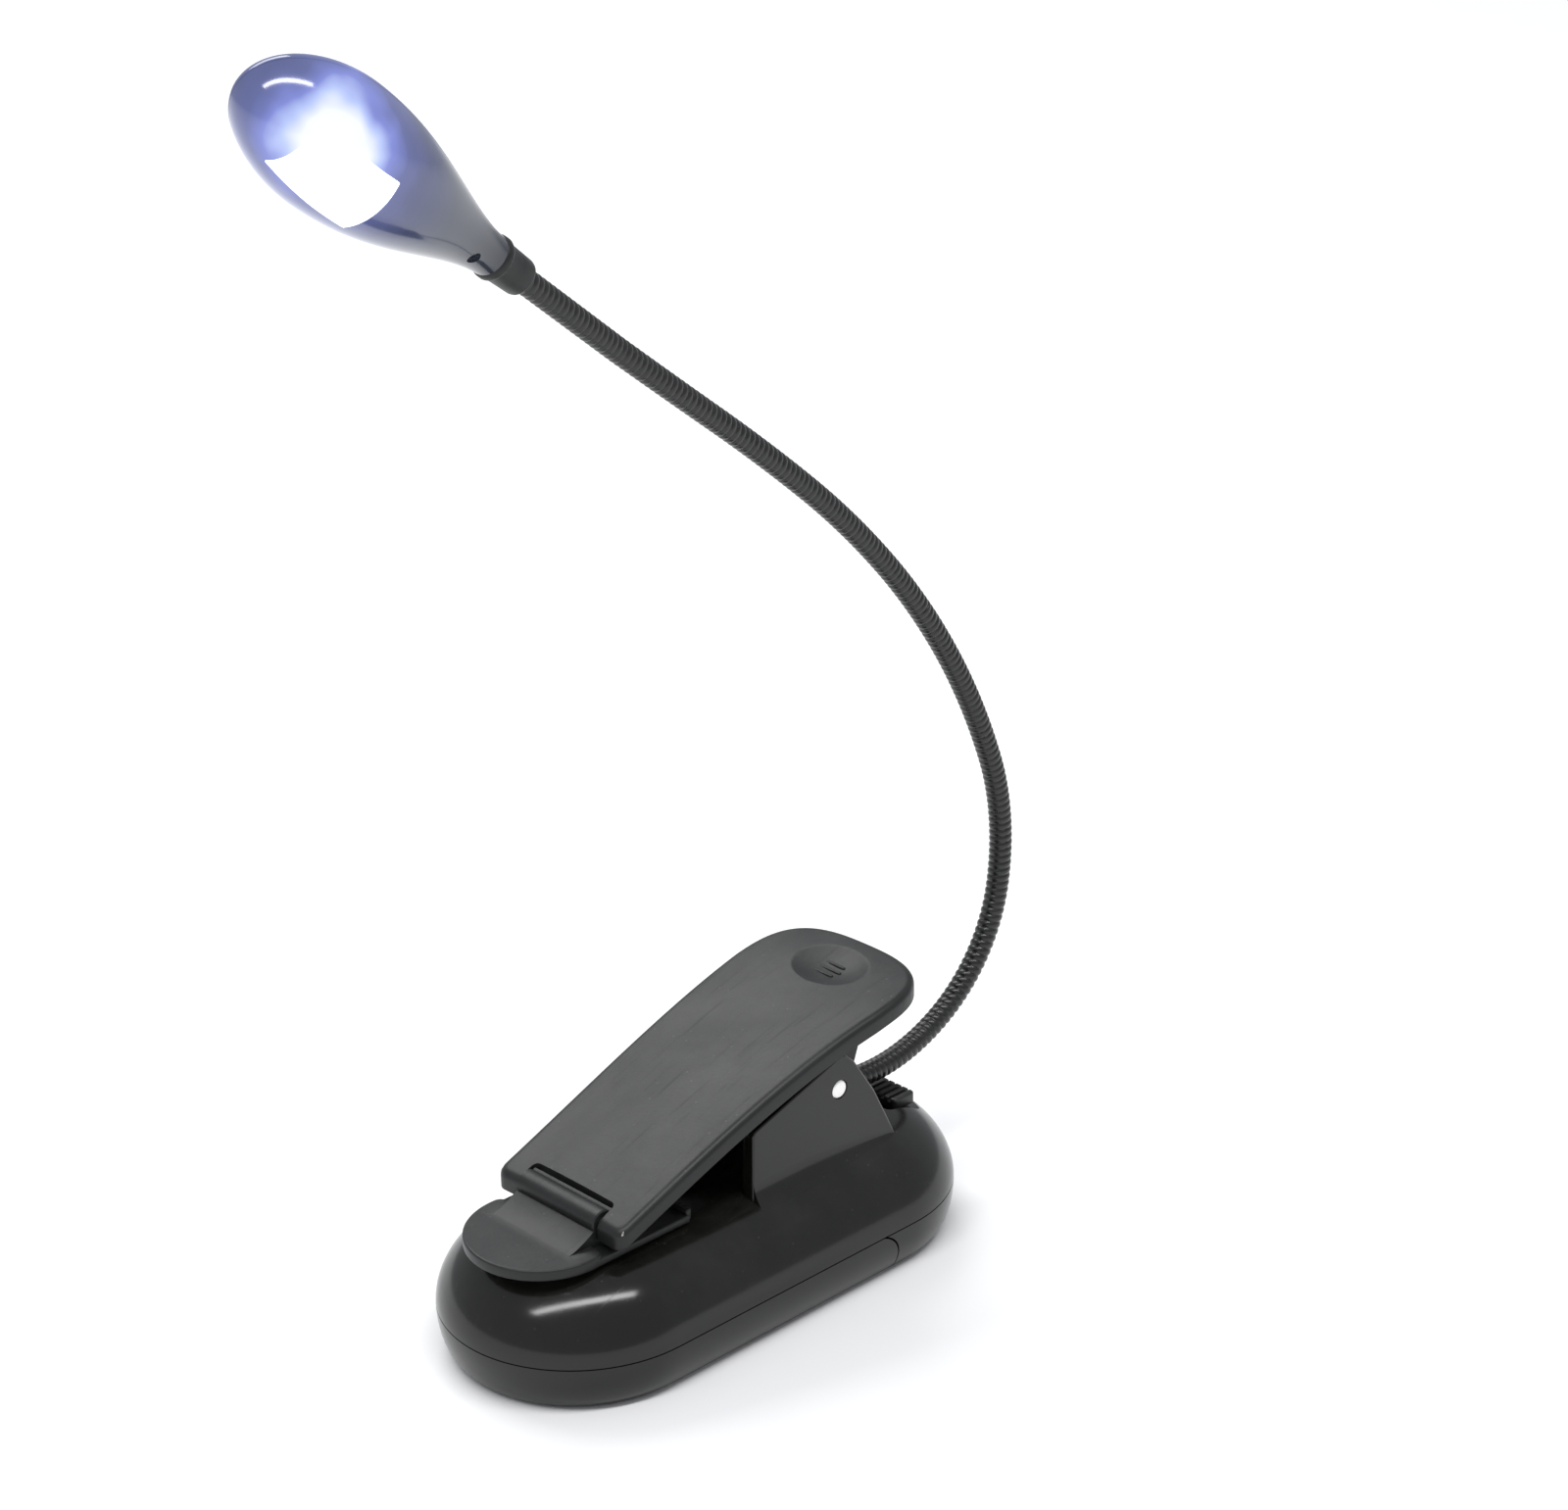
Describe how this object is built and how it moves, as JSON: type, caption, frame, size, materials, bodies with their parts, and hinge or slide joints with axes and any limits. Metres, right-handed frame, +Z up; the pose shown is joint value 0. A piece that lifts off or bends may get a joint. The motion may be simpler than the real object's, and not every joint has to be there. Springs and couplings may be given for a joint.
{
  "type": "clip on reading lamp",
  "caption": "Small clip-on reading lamp: rounded battery base with a sprung clip and swivelling jaw pad, a slide switch, and a bendable gooseneck to a teardrop light head.",
  "frame": {"origin": "under the middle of the base, on the flat face it stands on", "axes": "+X to the rear of the base, where the gooseneck starts; -X to the jaw of the clip; +Z up; -Y the side that the light faces"},
  "size_m": [0.1386, 0.042, 0.1956],
  "materials": {
    "shell_black": "gloss black moulded plastic, slightly warm",
    "clip_charcoal": "satin charcoal moulded plastic",
    "bright_pin": "polished steel pin end",
    "spring_steel": "drawn spring wire",
    "neck_coil": "black coated wound steel tube",
    "lead_sleeve": "thin insulated lead",
    "head_plastic": "gloss dark slate plastic that glows blue near the light",
    "clear_lens": "clear moulded window",
    "light_emitter": "small white light emitter",
    "reflector_white": "white reflector cup",
    "board_laminate": "printed board",
    "contact_plate": "nickel plated contact",
    "cell_wrap": "printed cell sleeve, plain",
    "tray_plastic": "moulded inner tray",
    "screw_steel": "zinc plated screw",
    "switch_metal": "pressed switch can",
    "knob_black": "satin black knob"
  },
  "bodies": {
    "base": {"battery_cell_1": "cell_wrap", "battery_cell_2": "cell_wrap", "battery_cell_3": "cell_wrap", "battery_tray": "tray_plastic", "circuit_board": "board_laminate", "contact_spring_1": "contact_plate", "contact_spring_2": "contact_plate", "contact_spring_3": "contact_plate", "front_contact_strip": "contact_plate", "gooseneck_link_1": "neck_coil", "housing_screws": "screw_steel", "lead_wire_1": "lead_sleeve", "lower_housing": "shell_black", "pivot_pin": "bright_pin", "rear_contact_strip": "contact_plate", "switch_body": "switch_metal", "torsion_spring": "spring_steel", "upper_housing": "shell_black"},
    "battery_door": {"battery_door": "shell_black"},
    "switch_slider": {"switch_slider": "knob_black"},
    "lever": {"clip_lever": "clip_charcoal", "pad_pin": "bright_pin"},
    "pad": {"clip_pad": "clip_charcoal"},
    "neck_2": {"gooseneck_link_2": "neck_coil", "lead_wire_2": "lead_sleeve"},
    "neck_3": {"gooseneck_link_3": "neck_coil", "lead_wire_3": "lead_sleeve"},
    "neck_4": {"gooseneck_link_4": "neck_coil", "lead_wire_4": "lead_sleeve"},
    "neck_5": {"gooseneck_link_5": "neck_coil", "lead_wire_5": "lead_sleeve"},
    "neck_6": {"gooseneck_link_6": "neck_coil", "lead_wire_6": "lead_sleeve"},
    "neck_7": {"gooseneck_link_7": "neck_coil", "lead_wire_7": "lead_sleeve"},
    "neck_8": {"gooseneck_link_8": "neck_coil", "lead_wire_8": "lead_sleeve"},
    "head": {"gooseneck_link_9": "neck_coil", "lead_wire_9": "lead_sleeve", "head_front_shell": "head_plastic", "head_back_shell": "head_plastic", "head_lens": "clear_lens", "led_board": "board_laminate", "head_reflector": "reflector_white", "led_1": "light_emitter", "led_2": "light_emitter", "head_collar": "head_plastic", "head_screw": "screw_steel"}
  },
  "joints": [
    {"name": "clip_hinge", "type": "hinge", "parent": "base", "child": "lever", "pos_m": [0.0167, 0, 0.0298], "axis": [0, 1, 0], "range_deg": [0, 25], "stiffness_Nm_per_rad": 0.25, "springref_deg": -45.84, "deforming": ["torsion_spring"]},
    {"name": "pad_hinge", "type": "hinge", "parent": "lever", "child": "pad", "pos_m": [-0.0264, 0, 0.0236], "axis": [0, 1, 0], "range_deg": [-25, 0]},
    {"name": "switch_slide", "type": "slide", "parent": "base", "child": "switch_slider", "axis": [0, 1, 0], "range_m": [0, 0.004]},
    {"name": "door_slide", "type": "slide", "parent": "base", "child": "battery_door", "axis": [-1, 0, 0], "range_m": [0, 0.006]},
    {"name": "neck_bend_1", "type": "hinge", "parent": "base", "child": "neck_2", "pos_m": [0.0523, 0, 0.02544], "axis": [-0.5299, 0, 0.848], "range_deg": [-15, 15]},
    {"name": "neck_bend_2", "type": "hinge", "parent": "neck_2", "child": "neck_3", "pos_m": [0.06427, 0, 0.04335], "axis": [0, 1, 0], "range_deg": [-15, 15]},
    {"name": "neck_bend_3", "type": "hinge", "parent": "neck_3", "child": "neck_4", "pos_m": [0.06226, 0, 0.06521], "axis": [-0.9397, 0, -0.342], "range_deg": [-15, 15]},
    {"name": "neck_bend_4", "type": "hinge", "parent": "neck_4", "child": "neck_5", "pos_m": [0.05263, 0, 0.08518], "axis": [0, 1, 0], "range_deg": [-15, 15]},
    {"name": "neck_bend_5", "type": "hinge", "parent": "neck_5", "child": "neck_6", "pos_m": [0.03944, 0, 0.103], "axis": [-0.749, 0, -0.6626], "range_deg": [-15, 15]},
    {"name": "neck_bend_6", "type": "hinge", "parent": "neck_6", "child": "neck_7", "pos_m": [0.02369, 0, 0.11862], "axis": [0, 1, 0], "range_deg": [-15, 15]},
    {"name": "neck_bend_7", "type": "hinge", "parent": "neck_7", "child": "neck_8", "pos_m": [0.00656, 0, 0.13273], "axis": [-0.6157, 0, -0.788], "range_deg": [-15, 15]},
    {"name": "neck_bend_8", "type": "hinge", "parent": "neck_8", "child": "head", "pos_m": [-0.01087, 0, 0.14648], "axis": [0, 1, 0], "range_deg": [-15, 15]}
  ],
  "couplings": [
    {"joint": "pad_hinge", "follows": "clip_hinge", "ratio": -1}
  ]
}
